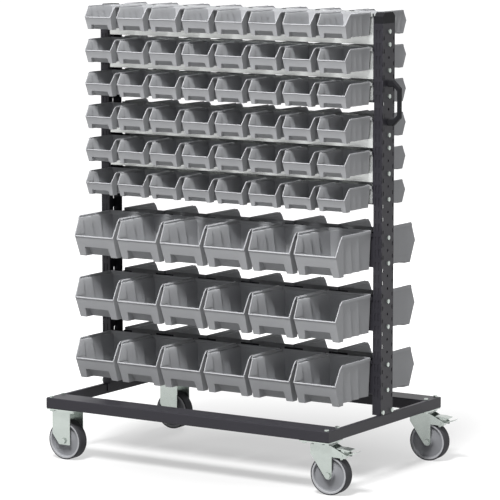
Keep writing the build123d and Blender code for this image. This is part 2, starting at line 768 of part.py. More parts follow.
def brake_pedal():
    """Stamped pedal with a tread, a shoe facing the tyre, a turned-up tongue and its pivot pin."""
    outline = [
        (PEDAL_HEEL_X, PEDAL_HEEL_Z),
        (PEDAL_HEEL_X, PEDAL_HEEL_Z - PEDAL_SHEET),
        (PEDAL_PIVOT_X - PEDAL_BOSS_RADIUS, PEDAL_HEEL_Z - PEDAL_SHEET),
        (SHOE_X, SHOE_FOOT),
        (SHOE_X + SHOE_LENGTH, SHOE_FOOT),
        (PEDAL_PIVOT_X + PEDAL_BOSS_RADIUS, PEDAL_PIVOT_Z - PEDAL_BOSS_RADIUS),
        (PEDAL_PIVOT_X + PEDAL_BOSS_RADIUS, PEDAL_TOE_Z - PEDAL_SHEET),
        (PEDAL_TOE_X, PEDAL_TOE_Z - PEDAL_SHEET),
        (PEDAL_TOE_X, PEDAL_TOE_Z),
        (PEDAL_PIVOT_X, PEDAL_HEEL_Z),
    ]
    body = prism_y(outline, PEDAL_WIDTH / 2)
    tongue = [
        (PEDAL_PIVOT_X, PEDAL_PIVOT_Z),
        (PEDAL_PIVOT_X, PEDAL_PIVOT_Z - PEDAL_SHEET),
        (TONGUE_REACH - 2 * PEDAL_SHEET, TONGUE_RISE - 2 * PEDAL_SHEET),
        (TONGUE_REACH, TONGUE_RISE),
        (TONGUE_REACH - 2 * PEDAL_SHEET, TONGUE_RISE - PEDAL_SHEET),
    ]
    body += prism_y(tongue, TONGUE_WIDTH / 2)
    half = FORK_OUTER_WIDTH / 2 + PIN_OVERHANG
    return body + rod_y(PEDAL_PIN_RADIUS, -half, half, PEDAL_PIVOT_X, PEDAL_PIVOT_Z)


# Fixed casters, with the middle of the plate on x = y = 0 and the wheel under it
def fixed_bracket():
    """Mounting plate with two straight legs that hold the axle, each the other turned half round."""
    outline = [
        (-FIXED_REAR_EDGE, PLATE_FOOT),
        (-FIXED_REAR_EDGE, WHEEL_RADIUS + FIXED_CUT_HEIGHT),
        (FIXED_CUT_LENGTH - FIXED_REAR_EDGE, WHEEL_RADIUS - FIXED_FOOT),
        (FIXED_FRONT_EDGE, WHEEL_RADIUS - FIXED_FOOT),
        (FIXED_FRONT_EDGE, PLATE_FOOT),
    ]
    middle = FORK_INNER_WIDTH / 2 + FORK_SHEET / 2
    leg = Pos(0, -middle, 0) * prism_y(outline, FORK_SHEET / 2)
    legs = leg + Rot(0, 0, 180) * leg
    side = FORK_OUTER_WIDTH / 2 + OVERRUN
    legs -= rod_y(AXLE_RADIUS, -side, side, 0, WHEEL_RADIUS)
    return mounting_plate() + legs


def caster_bolts():
    """Long bolts with nuts at the outer holes and short bolts from below at the inner ones."""
    bolts = []
    head = hexagon(BOLT_HEAD_FLATS, BOLT_HEAD_HEIGHT)
    nut = Pos(0, 0, -NUT_HEIGHT) * hexagon(BOLT_HEAD_FLATS, NUT_HEIGHT)
    for end in (-1, 1):
        for side in (-1, 1):
            for x, y, through in caster_bolt_places(end, side):
                top = FRAME_TOP if through else CASTER_HEIGHT + BEAM_WALL
                bolt = Pos(x, y, PLATE_FOOT) * nut
                bolt += rod_z(BOLT_RADIUS, PLATE_FOOT - NUT_HEIGHT, top, x, y)
                if through:
                    bolt += Pos(x, y, FRAME_TOP) * head
                bolts.append(bolt)
    return bolts


def at_swivel(side, shape):
    """A piece of a swivel caster, turned to where it stands at rest."""
    return Pos(CASTER_X, side * BEAM_Y, 0) * (Rot(0, 0, SWIVEL_REST_ANGLE) * shape)


def at_wheel(offset, shape):
    """A turned piece moved from its own middle to the wheel's place in the caster."""
    return Pos(offset, 0, WHEEL_RADIUS) * shape


def build():
    """Make every piece of the trolley in the frame of the base's middle."""
    nodes["front_beam"] = long_beam(-1)
    nodes["rear_beam"] = long_beam(1)
    nodes["beam_end_caps"] = beam_end_caps()
    nodes["foot_brackets"] = [foot_bracket(-1), foot_bracket(1)]
    nodes["foot_bolts"] = foot_bolts()
    for name, end in (("left", -1), ("right", 1)):
        nodes[f"{name}_end_beam"] = end_beam(end)
        nodes[f"{name}_upright"] = upright(end)
        nodes[f"{name}_cap"] = cap(end)
    for name, group in (("lower", 0), ("upper", 1)):
        nodes[f"{name}_front_panel"] = panel(group, 0)
        nodes[f"{name}_rear_panel"] = turned(panel(group, 1))
    nodes["front_rails"] = [rail(step, 0) for step in range(LARGE_ROWS)]
    nodes["rear_rails"] = [turned(rail(step, 1)) for step in range(LARGE_ROWS)]
    nodes["rack_bolts"] = rack_bolts()
    nodes["handle"] = handle()
    nodes["handle_screws"] = handle_screws()
    nodes["caster_bolts"] = caster_bolts()
    for name, side in (("front", -1), ("rear", 1)):
        nodes[f"{name}_swivel_plate"] = Pos(CASTER_X, side * BEAM_Y, 0) * swivel_plate()
        nodes[f"{name}_swivel_fork"] = at_swivel(side, swivel_fork())
        nodes[f"{name}_brake_pedal"] = at_swivel(side, brake_pedal())
        fixed = Pos(-CASTER_X, side * BEAM_Y, 0)
        nodes[f"{name}_fixed_bracket"] = fixed * fixed_bracket()
        for piece, make in (("axle", axle), ("hub", hub), ("tyre", tyre)):
            wheel_piece = make()
            nodes[f"{name}_swivel_{piece}"] = at_swivel(side, at_wheel(SWIVEL_OFFSET, wheel_piece))
            nodes[f"{name}_fixed_{piece}"] = fixed * at_wheel(0, wheel_piece)
    for row in range(1, SMALL_ROWS + LARGE_ROWS + 1):
        small = row <= SMALL_ROWS
        size = SMALL_BIN if small else LARGE_BIN
        bins = bin_row(size, small_floor(row) if small else large_floor(row))
        nodes[f"front_bins_row_{row}"] = bins
        nodes[f"rear_bins_row_{row}"] = [turned(one) for one in bins]


def solids_of(piece):
    """The separate solids of a node."""
    return [solid for part in (piece if isinstance(piece, list) else [piece]) for solid in part.solids()]


def box_middle():
    """Middle of the whole trolley's box along X."""
    boxes = [solid.bounding_box() for piece in nodes.values() for solid in solids_of(piece)]
    return (min(box.min.X for box in boxes) + max(box.max.X for box in boxes)) / 2


build()
FRAME_X = -box_middle()
os.makedirs("parts", exist_ok=True)
for node_name, node_piece in nodes.items():
    moved = [Pos(FRAME_X, 0, 0) * solid for solid in solids_of(node_piece)]
    export_step(moved[0] if len(moved) == 1 else Compound(moved), f"parts/{node_name}.step")
print(len(nodes), "nodes; middle of the base at x =", round(FRAME_X, 3))
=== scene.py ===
"""Dresses the picking bin trolley in its real finishes and sets it in a plain studio.

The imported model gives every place. Bins, uprights, light sheets and wheel centres get meshes of
their own that ride on the same bodies; the other pieces keep their solids. All get procedural
finishes.
"""

from __future__ import annotations

import json
import logging
import math
from dataclasses import dataclass
from enum import Enum

import bmesh
import bpy
from mathutils import Euler, Matrix, Vector

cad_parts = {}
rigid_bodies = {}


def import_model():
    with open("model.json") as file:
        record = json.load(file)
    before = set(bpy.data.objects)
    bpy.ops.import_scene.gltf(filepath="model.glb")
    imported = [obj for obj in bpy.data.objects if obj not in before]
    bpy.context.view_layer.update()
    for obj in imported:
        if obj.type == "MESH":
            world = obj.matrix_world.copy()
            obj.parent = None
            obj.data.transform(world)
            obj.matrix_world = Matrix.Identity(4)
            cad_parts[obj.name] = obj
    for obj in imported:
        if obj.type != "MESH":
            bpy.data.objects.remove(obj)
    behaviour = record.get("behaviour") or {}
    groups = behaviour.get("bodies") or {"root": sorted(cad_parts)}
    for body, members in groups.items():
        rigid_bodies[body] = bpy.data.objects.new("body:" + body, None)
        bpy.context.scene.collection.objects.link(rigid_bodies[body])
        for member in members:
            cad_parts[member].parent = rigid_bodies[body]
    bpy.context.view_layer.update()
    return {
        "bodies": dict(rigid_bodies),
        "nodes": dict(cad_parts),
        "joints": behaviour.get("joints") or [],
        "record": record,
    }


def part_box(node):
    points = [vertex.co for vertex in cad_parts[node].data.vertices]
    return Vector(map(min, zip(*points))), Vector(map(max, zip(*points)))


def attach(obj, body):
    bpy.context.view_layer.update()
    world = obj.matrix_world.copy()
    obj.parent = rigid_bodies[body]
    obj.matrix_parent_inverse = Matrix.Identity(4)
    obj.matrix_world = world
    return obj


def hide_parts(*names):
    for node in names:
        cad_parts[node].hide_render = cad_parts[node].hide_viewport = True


LOG = logging.getLogger("picking_bin_trolley")
MM = 0.001
# Corners in the outline of a punched slot or hole
SLOT_CORNERS = 12
# Corners of a copied solid closer than this are one, in metres
MERGE_DISTANCE = 1e-6


class Side(Enum):
    """Faces of the rack: the sign of Y and the half turn that a rear piece takes."""

    FRONT = (-1, 0.0)
    REAR = (1, math.pi)

    @property
    def word(self) -> str:
        """Name used in node names."""
        return self.name.lower()


class End(Enum):
    """Ends of the trolley: the sign of X."""

    LEFT = -1
    RIGHT = 1

    @property
    def word(self) -> str:
        """Name used in node names."""
        return self.name.lower()


def linear(colour: str) -> tuple[float, float, float, float]:
    """Turn an sRGB hex colour into linear light.

    Args:
        colour: Six hex digits with a leading hash sign.

    Returns:
        Red, green, blue and an alpha of one.
    """
    parts = [int(colour[i : i + 2], 16) / 255 for i in (1, 3, 5)]
    shade = [c / 12.92 if c <= 0.04045 else ((c + 0.055) / 1.055) ** 2.4 for c in parts]
    return (*shade, 1.0)


def node(tree: bpy.types.NodeTree, kind: str, links: dict, **settings) -> bpy.types.Node:
    """Add one node with its settings, values and links.

    Args:
        tree: Tree that takes the node.
        kind: Blender's name for the node type.
        links: Input name or index to a value, or to an output socket that feeds it.
        settings: Attributes of the node.

    Returns:
        The new node.
    """
    made = tree.nodes.new(kind)
    for key, value in settings.items():
        setattr(made, key, value)
    for key, value in links.items():
        socket = made.inputs[key]
        if isinstance(value, bpy.types.NodeSocket):
            tree.links.new(value, socket)
        else:
            socket.default_value = value
    return made


@dataclass(frozen=True)
class Finish:
    """One surface finish: colour, gloss and the grain that light catches on.

    Args:
        name: Common name of the material and how its surface was made.
        colour: Main colour.
        second: Colour that the main one drifts towards in soft patches.
        roughness: Microscopic roughness.
        metallic: One for bare metal.
        grain_mm: Size of the surface grain.
        grain_height_mm: Height of that grain.
        patch_mm: Size of the soft patches.
        specular: Strength of the clear reflection on a surface that isn't metal.
    """

    name: str
    colour: str
    second: str
    roughness: float
    metallic: float
    grain_mm: float
    grain_height_mm: float
    patch_mm: float
    specular: float = 0.2

    PATCH_DETAIL = 3.0
    PATCH_ROUGHNESS = 0.5
    GRAIN_DETAIL = 2.0
    METAL_SPECULAR = 0.5

    def material(self) -> bpy.types.Material:
        """Build the material, or give the one already built.

        Returns:
            A procedural material that reads Object coordinates only.
        """
        known = bpy.data.materials.get(self.name)
        if known:
            return known
        made = bpy.data.materials.new(self.name)
        made.use_nodes = True
        tree = made.node_tree
        tree.nodes.clear()
        place = node(tree, "ShaderNodeTexCoord", {}).outputs["Object"]
        patches = node(
            tree,
            "ShaderNodeTexNoise",
            {
                "Vector": place,
                "Scale": 1 / (self.patch_mm * MM),
                "Detail": self.PATCH_DETAIL,
                "Roughness": self.PATCH_ROUGHNESS,
            },
        )
        colour = node(
            tree,
            "ShaderNodeMix",
            {0: patches.outputs["Fac"], 6: linear(self.colour), 7: linear(self.second)},
            data_type="RGBA",
        )
        grain = node(
            tree,
            "ShaderNodeTexNoise",
            {"Vector": place, "Scale": 1 / (self.grain_mm * MM), "Detail": self.GRAIN_DETAIL},
        )
        bump = node(
            tree,
            "ShaderNodeBump",
            {
                "Height": grain.outputs["Fac"],
                "Distance": self.grain_height_mm * MM,
                "Strength": 1.0,
            },
        )
        surface = node(
            tree,
            "ShaderNodeBsdfPrincipled",
            {
                "Base Color": colour.outputs[2],
                "Roughness": self.roughness,
                "Metallic": self.metallic,
                "Specular IOR Level": self.METAL_SPECULAR if self.metallic else self.specular,
                "Normal": bump.outputs["Normal"],
            },
        )
        node(tree, "ShaderNodeOutputMaterial", {"Surface": surface.outputs["BSDF"]})
        return made


# Polypropylene, injection moulded: an even grey with a fine spark texture and little sheen
BIN_PLASTIC = Finish(
    name="moulded grey polypropylene",
    colour="#A6A7A9",
    second="#A0A1A4",
    roughness=0.48,
    metallic=0.0,
    grain_mm=2.4,
    grain_height_mm=0.03,
    patch_mm=90.0,
    specular=0.06,
)
# Polyester powder coat on steel: near black with a slight orange peel, so lights spread a little
DARK_COAT = Finish(
    name="anthracite powder coat",
    colour="#2E2D32",
    second="#2A292E",
    roughness=0.42,
    metallic=0.0,
    grain_mm=3.0,
    grain_height_mm=0.05,
    patch_mm=120.0,
)
# Galvanised and clear-coated sheet: pale, satin and mirrored enough to pick up the floor
LIGHT_COAT = Finish(
    name="galvanised light grey sheet",
    colour="#E2E4E2",
    second="#D8DAD8",
    roughness=0.26,
    metallic=0.7,
    grain_mm=3.0,
    grain_height_mm=0.02,
    patch_mm=120.0,
)
# Bright zinc plate on pressed steel: cool, slightly mottled and softly mirrored
ZINC = Finish(
    name="bright zinc plated steel",
    colour="#B6BDB8",
    second="#ABB2AE",
    roughness=0.24,
    metallic=0.85,
    grain_mm=5.0,
    grain_height_mm=0.02,
    patch_mm=18.0,
)
# Glass-filled nylon, injection moulded: black and matt
BLACK_NYLON = Finish(
    name="moulded black nylon",
    colour="#1E1E21",
    second="#1B1B1D",
    roughness=0.6,
    metallic=0.0,
    grain_mm=1.8,
    grain_height_mm=0.04,
    patch_mm=60.0,
    specular=0.1,
)
# Polypropylene wheel centre: mid grey with a silky face
HUB_PLASTIC = Finish(
    name="moulded wheel polypropylene",
    colour="#85868A",
    second="#7F8083",
    roughness=0.45,
    metallic=0.0,
    grain_mm=2.0,
    grain_height_mm=0.02,
    patch_mm=40.0,
)
# The same polypropylene on the wheel's rim: smoother from the mould, and painted paler as a
# highlight where the rim catches the light
LIT_RIM_PLASTIC = Finish(
    name="polished wheel polypropylene",
    colour="#A6A7AA",
    second="#A0A1A4",
    roughness=0.32,
    metallic=0.0,
    grain_mm=2.0,
    grain_height_mm=0.01,
    patch_mm=40.0,
)
# Thermoplastic rubber tread: dark grey and dull
TREAD_RUBBER = Finish(
    name="grey thermoplastic rubber",
    colour="#3C3C3F",
    second="#37373A",
    roughness=0.7,
    metallic=0.0,
    grain_mm=1.6,
    grain_height_mm=0.05,
    patch_mm=30.0,
)


class Workshop:
    """Turns meshes into finished pieces on the frame's bodies."""

    @staticmethod
    def piece(name: str, mesh: bpy.types.Mesh, finish: Finish | None = None) -> bpy.types.Object:
        """Make an object at the origin from a mesh that holds its own place.

        Args:
            name: Name of the piece.
            mesh: Mesh in the trolley's frame, in metres.
            finish: Finish for the whole mesh, or None if it has one.

        Returns:
            The linked object.
        """
        made = bpy.data.objects.new(name, mesh)
        bpy.context.scene.collection.objects.link(made)
        if finish:
            mesh.materials.clear()
            mesh.materials.append(finish.material())
        return made

    @staticmethod
    def fitted(made: bpy.types.Object, body: str, slot: str, *nodes: str) -> None:
        """Hand a finished piece to its body in place of the solids it stands for.

        Args:
            made: Finished piece.
            body: Body that carries it.
            slot: Material slot of the record; not used.
            nodes: Solids that it replaces.
        """
        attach(made, body)
        if nodes:
            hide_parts(*nodes)
        LOG.info("%s: %d faces on %s", made.name, len(made.data.polygons), body)

    @staticmethod
    def baked(host: bpy.types.Object, name: str) -> bpy.types.Mesh:
        """Turn an object with live modifiers into a plain mesh and delete the object.

        Args:
            host: Object with modifiers.
            name: Name of the new mesh.

        Returns:
            Plain mesh of the evaluated object.
        """
        bpy.context.view_layer.update()
        graph = bpy.context.evaluated_depsgraph_get()
        mesh = bpy.data.meshes.new_from_object(
            host.evaluated_get(graph), preserve_all_data_layers=True, depsgraph=graph
        )
        mesh.name = name
        bpy.data.objects.remove(host)
        return mesh

    @staticmethod
    def crisp(mesh: bpy.types.Mesh, degrees: float = 32.0) -> bpy.types.Mesh:
        """Shade a mesh smooth with creases at its sharp edges.

        Args:
            mesh: Mesh to shade.
            degrees: Turn between faces that counts as a crease.

        Returns:
            The same mesh.
        """
        mesh.polygons.foreach_set("use_smooth", [True] * len(mesh.polygons))
        mesh.set_sharp_from_angle(angle=math.radians(degrees))
        return mesh


class RowTree:
    """Geometry Nodes tree that sets copies of one piece out along a straight line."""

    NAME = "row_of_pieces"

    def __init__(self) -> None:
        """Build the tree once, with named inputs for its sizes."""
        self.tree = bpy.data.node_groups.new(self.NAME, "GeometryNodeTree")
        face = self.tree.interface
        face.new_socket("Geometry", in_out="INPUT", socket_type="NodeSocketGeometry")
        wanted = {
            "Piece": "NodeSocketObject",
            "Count": "NodeSocketInt",
            "Start": "NodeSocketVector",
            "Step": "NodeSocketVector",
            "Turn": "NodeSocketVector",
            "Finish": "NodeSocketMaterial",
        }
        self.keys = {
            name: face.new_socket(name, in_out="INPUT", socket_type=kind).identifier
            for name, kind in wanted.items()
        }
        face.new_socket("Geometry", in_out="OUTPUT", socket_type="NodeSocketGeometry")
        given = node(self.tree, "NodeGroupInput", {}).outputs
        line = node(
            self.tree,
            "GeometryNodeMeshLine",
            {"Count": given["Count"], "Start Location": given["Start"], "Offset": given["Step"]},
            mode="OFFSET",
        )
        source = node(self.tree, "GeometryNodeObjectInfo", {"Object": given["Piece"]})
        turn = node(self.tree, "FunctionNodeEulerToRotation", {"Euler": given["Turn"]})
        copies = node(
            self.tree,
            "GeometryNodeInstanceOnPoints",
            {
                "Points": line.outputs["Mesh"],
                "Instance": source.outputs["Geometry"],
                "Rotation": turn.outputs["Rotation"],
            },
        )
        real = node(
            self.tree, "GeometryNodeRealizeInstances", {"Geometry": copies.outputs["Instances"]}
        )
        painted = node(
            self.tree,
            "GeometryNodeSetMaterial",
            {"Geometry": real.outputs["Geometry"], "Material": given["Finish"]},
        )
        node(self.tree, "NodeGroupOutput", {"Geometry": painted.outputs["Geometry"]})

    def mesh(
        self,
        name: str,
        pattern: bpy.types.Mesh,
        count: int,
        start: Vector,
        step: Vector,
        turn: Vector,
        finish: Finish,
    ) -> bpy.types.Mesh:
        """Set out a row and give it as a plain mesh.

        Args:
            name: Name of the new mesh.
            pattern: Mesh of one piece, round its own origin.
            count: Number of copies.
            start: Place of the first copy.
            step: Way from one copy to the next.
            turn: Turn of every copy, as Euler angles.
            finish: Finish of the row.

        Returns:
            Plain mesh of the whole row.
        """
        single = Workshop.piece(f"{name}_pattern", pattern)
        host = Workshop.piece(f"{name}_host", bpy.data.meshes.new(f"{name}_host"))
        modifier = host.modifiers.new("row", "NODES")
        modifier.node_group = self.tree
        values = {
            "Piece": single,
            "Count": count,
            "Start": tuple(start),
            "Step": tuple(step),
            "Turn": tuple(turn),
            "Finish": finish.material(),
        }
        for key, value in values.items():
            modifier[self.keys[key]] = value
        made = Workshop.baked(host, name)
        bpy.data.objects.remove(single)
        return made


def joined(name: str, *meshes: bpy.types.Mesh) -> bpy.types.Mesh:
    """Join meshes that share one finish.

    Args:
        name: Name of the new mesh.
        meshes: Meshes in one frame.

    Returns:
        One mesh with the first mesh's materials.
    """
    work = bmesh.new()
    for mesh in meshes:
        work.from_mesh(mesh)
    made = bpy.data.meshes.new(name)
    work.to_mesh(made)
    work.free()
    made.polygons.foreach_set("material_index", [0] * len(made.polygons))
    for finish in [known for known in meshes[0].materials if known]:
        made.materials.append(finish)
    return made


def merged_copy(solid: bpy.types.Object) -> bmesh.types.BMesh:
    """Copy a solid in its place, with its doubled corners merged.

    Args:
        solid: Solid to copy.

    Returns:
        The copy in the trolley's frame, to be worked on and freed.
    """
    work = bmesh.new()
    work.from_mesh(solid.data)
    work.transform(solid.matrix_world)
    bmesh.ops.remove_doubles(work, verts=work.verts[:], dist=MERGE_DISTANCE)
    return work


def without(
    name: str, work: bmesh.types.BMesh, unwanted: list[bmesh.types.BMFace]
) -> bpy.types.Mesh:
    """Delete faces from a working copy and turn the rest into a mesh.

    Args:
        name: Name of the new mesh.
        work: Working copy, freed here.
        unwanted: Faces to delete.

    Returns:
        Mesh of the faces that are left.
    """
    bmesh.ops.delete(work, geom=unwanted, context="FACES")
    mesh = bpy.data.meshes.new(name)
    work.to_mesh(mesh)
    work.free()
    return mesh


@dataclass
class BinShape:
    """Moulded bin with an open front: sizes in millimetres, back at y = 0, underside at z = 0.

    Args:
        count: Bins in one row.
        lip_height: Height of the front wall.
        rim_setback: How far the side walls' top corners stand back from the lip.
        toe_setback: How far the foot of the front wall stands back from the lip.
        wall: Wall thickness.
        floor_width: Outer width at the underside.
        recess_height: Height of the finger recess in the front wall.
        recess_depth: Depth of that recess at the foot and, behind the sloping wall, at its top.
        recess_top: Half width of the recess at its top.
        recess_foot: Half width of the recess at its foot.
        bead: How far the band along the rim and the lip stands out from the wall.
        band: Height of the band along the lip.
        rim_band: Height of the band along the rim.
        chamfer: Slope on the upper edge of both bands.
        corner: Radius of the side walls' front top corners.
        step_depth: Depth of the steps in the side walls.
        steps: For each step, its distance from the back as a share of the length, at floor and rim.
        toe: How far the front wall and its corners reach below the rest of the underside.
        hook_height: Height of the louvre's edge above the underside.
        hook_share: Share of the width that the hook takes.
        width: Outer width at the rim, from the frame.
        length: Depth from back to lip, from the frame.
        height: Height, from the frame.
    """

    count: int
    lip_height: float
    rim_setback: float
    toe_setback: float
    wall: float
    floor_width: float
    recess_height: float
    recess_depth: tuple[float, float]
    recess_top: float
    recess_foot: float
    bead: float
    band: float
    rim_band: float
    chamfer: float
    corner: float
    step_depth: float
    steps: tuple[tuple[float, float], ...]
    toe: float
    hook_height: float
    hook_share: float
    width: float = 0.0
    length: float = 0.0
    height: float = 0.0

    # Hook: how far it reaches back, its thickness, its drop behind the louvre and its play above it
    HOOK_REACH = 3.9
    HOOK_SHEET = 1.8
    HOOK_DROP = 6.0
    HOOK_CLEARANCE = 0.3
    # Rounding of the moulded edges, and the turn in degrees from which an edge is rounded
    EDGE_RADIUS = 0.5
    EDGE_SEGMENTS = 2
    EDGE_ANGLE = 40.0
    # Half height or half width of the slope between a wall and its relief
    SOFT = 0.5
    # Turn between faces that shows as a crease, in degrees
    CREASE = 14.0
    # How far the rim stays under the solid's top
    TOP_CLEARANCE = 0.15
    # Half width of a step's slope, as a share of the length
    STEP_SHARE = 0.006
    # Depth of the foremost step, as a share of the others
    LAST_STEP = 0.5
    # Plain rows between lip and rim, as shares of that height
    PLAIN_ROWS = (0.35, 0.7)
    # Rows of the front wall that lie in the recess
    RECESS_ROWS = 2

    def reach(self, z: float) -> float:
        """Distance from the back to the front edge of the side wall at a height."""
        front = self.length - self.bead
        if z <= self.lip_height:
            return front - self.toe_setback * (1 - z / self.lip_height)
        rise = (z - self.lip_height) / (self.height - self.lip_height)
        back = self.rim_setback * rise
        over = z - (self.height - self.corner)
        if over > 0:
            back += self.corner - math.sqrt(max(self.corner**2 - over**2, 0))
        return front - back

    def half(self, z: float) -> float:
        """Half width of the shell at a height, without the bead."""
        rim = self.width / 2 - self.bead
        return self.floor_width / 2 + (rim - self.floor_width / 2) * z / self.height

    def levels(self) -> list[tuple[float, float]]:
        """Heights of the shell's rows, each with the bead's thickness there.

        Returns:
            Pairs of height and bead, from the floor to the rim.
        """
        soft = self.SOFT
        low = [0.0, self.recess_height - soft, self.recess_height + soft]
        lip = self.lip_height
        top = self.height - self.TOP_CLEARANCE
        rows = [(z, 0.0) for z in (*low, lip - self.band - soft)]
        rows += [(lip - self.band, self.bead), (lip - self.chamfer, self.bead)]
        rows += [(lip, self.bead - self.chamfer), (lip + soft, 0.0)]
        rows += [(lip + (top - lip) * share, 0.0) for share in self.PLAIN_ROWS]
        rows += [(top - self.rim_band - soft, 0.0), (top - self.rim_band, self.bead)]
        return rows + [(top - self.chamfer / 2, self.bead), (top, self.bead - self.chamfer / 2)]

    def side_columns(self, sign: int) -> list[tuple[float, float, float]]:
        """Columns of a side wall from the back to the front corner.

        Args:
            sign: One for the right wall, minus one for the left; both step the same way.

        Returns:
            For each column its share of the depth at the floor, at the rim, and its inset.
        """
        behind, ahead = (self.step_depth, 0.0) if sign > 0 else (0.0, self.step_depth)
        columns = [(0.0, 0.0, ahead)]
        for floor, rim in self.steps:
            columns.append((floor - self.STEP_SHARE, rim - self.STEP_SHARE, behind))
            shallow = self.LAST_STEP if (floor, rim) == self.steps[-1] else 1.0
            columns.append((floor + self.STEP_SHARE, rim + self.STEP_SHARE, ahead * shallow))
        return columns + [(1.0, 1.0, 0.0)]

    def shell(self, name: str) -> bpy.types.Mesh:
        """Build the moulded shell with walls, beads, recess and hook.

        Args:
            name: Name of the mesh.

        Returns:
            Mesh of one bin in metres.
        """
        work = bmesh.new()
        levels = self.levels()
        lip_row = 1 + next(i for i, (z, _) in enumerate(levels) if z == self.lip_height)
        right, left = (
            [
                [self.side_point(work, sign, column, row) for row in range(len(levels))]
                for column in self.side_columns(sign)
            ]
            for sign in (1, -1)
        )
        front = [
            [self.front_point(work, *place, row) for row in range(lip_row)]
            for place in self.front_columns()
        ]
        ring = [*right, *front, *reversed(left)]
        for one, two in zip(ring, ring[1:] + ring[:1]):
            for low in range(min(len(one), len(two)) - 1):
                work.faces.new((one[low], one[low + 1], two[low + 1], two[low]))
        work.faces.new([column[0] for column in ring])
        mesh = bpy.data.meshes.new(name)
        work.to_mesh(mesh)
        work.free()
        host = Workshop.piece(f"{name}_shell", mesh)
        wall = host.modifiers.new("wall", "SOLIDIFY")
        wall.thickness = self.wall * MM
        wall.offset = -1
        wall.use_even_offset = False
        edges = host.modifiers.new("edges", "BEVEL")
        edges.width = self.EDGE_RADIUS * MM
        edges.segments = self.EDGE_SEGMENTS
        edges.limit_method = "ANGLE"
        edges.angle_limit = math.radians(self.EDGE_ANGLE)
        edges.use_clamp_overlap = False
        shell = Workshop.baked(host, name)
        return Workshop.crisp(joined(name, shell, self.hook(name)), self.CREASE)

    def side_point(
        self, work: bmesh.types.BMesh, sign: int, column: tuple[float, float, float], row: int
    ) -> bmesh.types.BMVert:
        """Add one corner of a side wall's grid.

        Args:
            work: Mesh being built.
            sign: One for the right wall, minus one for the left.
            column: Shares of the depth at floor and rim, and the inset.
            row: Index of the level.

        Returns:
            The new vertex.
        """
        z, bead = self.levels()[row]
        floor, rim, inset = column
        front = floor == 1.0
        if row == 0 and floor < self.steps[-1][0]:
            z = self.toe
        lip_bead = max(bead, 0.0) if front and z <= self.lip_height else 0.0
        x = sign * (self.half(z) - inset)
        if z >= self.height - self.TOP_CLEARANCE - self.rim_band:
            x = sign * (self.half(z) + bead)
        depth = self.reach(z) if front else self.length * (floor + (rim - floor) * z / self.height)
        y = -(depth + lip_bead)
        return work.verts.new(Vector((x, y, z)) * MM)

    def front_columns(self) -> list[tuple[float, float, bool]]:
        """Columns of the front wall from right to left.

        Returns:
            Half width at the foot and at the recess's top, signed, and whether it is in the recess.
        """
        skin = self.SOFT
        places = [
            (self.half(0) - self.wall, self.half(self.recess_height) - self.wall, False),
            (self.recess_foot + skin, self.recess_top + skin, False),
            (self.recess_foot - skin, self.recess_top - skin, True),
        ]
        mirrored = [(-foot, -top, inside) for foot, top, inside in reversed(places)]
        return places + mirrored

    def front_point(
        self, work: bmesh.types.BMesh, foot: float, top: float, inside: bool, row: int
    ) -> bmesh.types.BMVert:
        """Add one corner of the front wall's grid.

        Args:
            work: Mesh being built.
            foot: Signed place across the wall at its foot.
            top: Signed place across the wall at the recess's top and above.
            inside: Whether the column lies in the recess.
            row: Index of the level.

        Returns:
            The new vertex.
        """
        z, bead = self.levels()[row]
        x = foot + (top - foot) * min(z / self.recess_height, 1.0)
        y = -(self.reach(z) + bead)
        if inside and row < self.RECESS_ROWS:
            y = self.recess_depth[row] - self.reach(z)
        if inside and row == self.RECESS_ROWS - 1:
            z = self.recess_height
        return work.verts.new(Vector((x, y, z)) * MM)

    def hook(self, name: str) -> bpy.types.Mesh:
        """Build the lip on the back that reaches over the louvre's edge.

        Args:
            name: Name of the bin's mesh.

        Returns:
            Mesh of the hook in metres.
        """
        under = self.hook_height + self.HOOK_CLEARANCE
        near = self.HOOK_REACH - self.HOOK_SHEET
        outline = [
            (-self.wall / 2, under),
            (near, under),
            (near, under - self.HOOK_DROP),
            (self.HOOK_REACH, under - self.HOOK_DROP),
            (self.HOOK_REACH, under + self.HOOK_SHEET),
            (-self.wall / 2, under + self.HOOK_SHEET),
        ]
        half = self.hook_share * self.width / 2
        return prism_along_x(f"{name}_hook", outline, half)


def prism_along_x(name: str, outline: list[tuple[float, float]], half: float) -> bpy.types.Mesh:
    """Draw a (y, z) outline out to both sides along X.

    Args:
        name: Name of the mesh.
        outline: Corners in millimetres.
        half: Half of the width in millimetres.

    Returns:
        Closed mesh in metres.
    """
    work = bmesh.new()
    ends = [[work.verts.new(Vector((x, y, z)) * MM) for y, z in outline] for x in (-half, half)]
    work.faces.new(ends[0])
    work.faces.new(ends[1])
    for i in range(len(outline)):
        j = (i + 1) % len(outline)
        work.faces.new((ends[0][i], ends[0][j], ends[1][j], ends[1][i]))
    bmesh.ops.recalc_face_normals(work, faces=work.faces[:])
    mesh = bpy.data.meshes.new(name)
    work.to_mesh(mesh)
    work.free()
    return mesh


